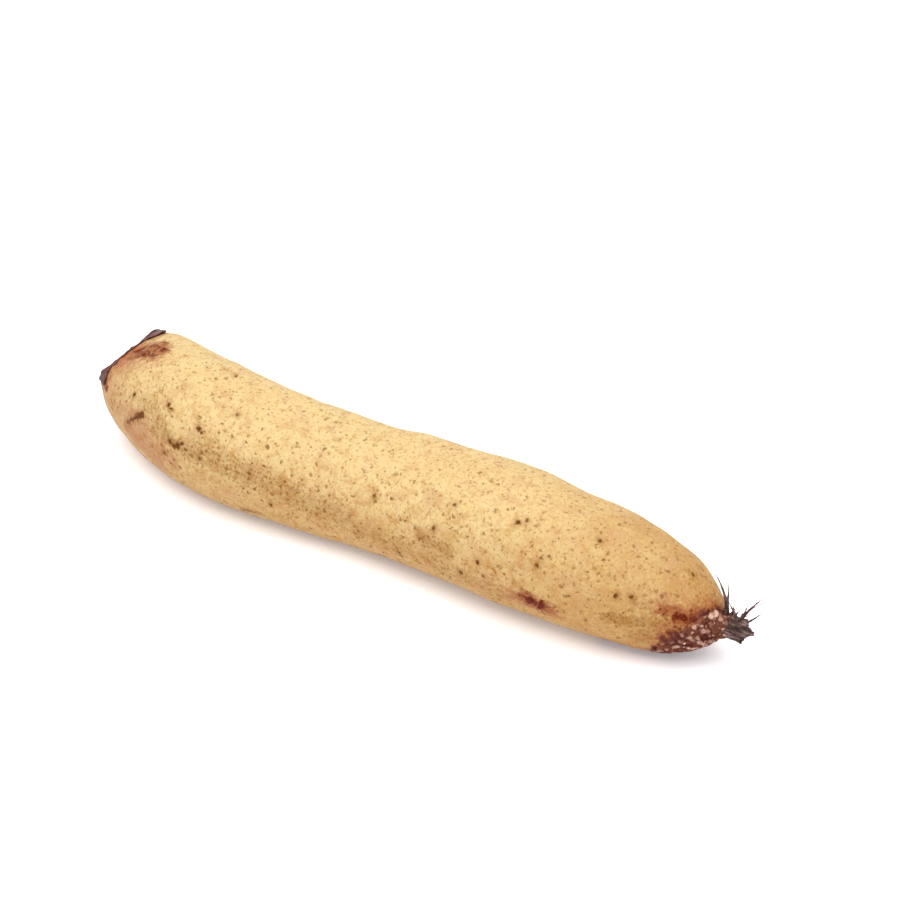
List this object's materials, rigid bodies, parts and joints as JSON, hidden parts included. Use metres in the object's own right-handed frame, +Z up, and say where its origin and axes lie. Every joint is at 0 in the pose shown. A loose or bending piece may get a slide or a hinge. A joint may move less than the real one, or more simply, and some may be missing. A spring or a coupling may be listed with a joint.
{
  "type": "lotus root segment",
  "caption": "Whole lotus root internode lying on its side, pale speckled skin, air channels in the broken neck, root scars and a dark torn sheath with rootlets at the node",
  "frame": {"origin": "middle of the bounding box at the level of the surface that the root rests on", "axes": "+Z up as the root lies; +X along the root from the broken neck to the rooting node; +Y to the side that the neck end bends towards"},
  "size_m": [0.3081, 0.0618, 0.0541],
  "materials": {
    "root_skin": null,
    "root_crown": null
  },
  "bodies": {
    "root": {"rhizome": "root_skin", "root_crown": "root_crown"}
  },
  "joints": []
}
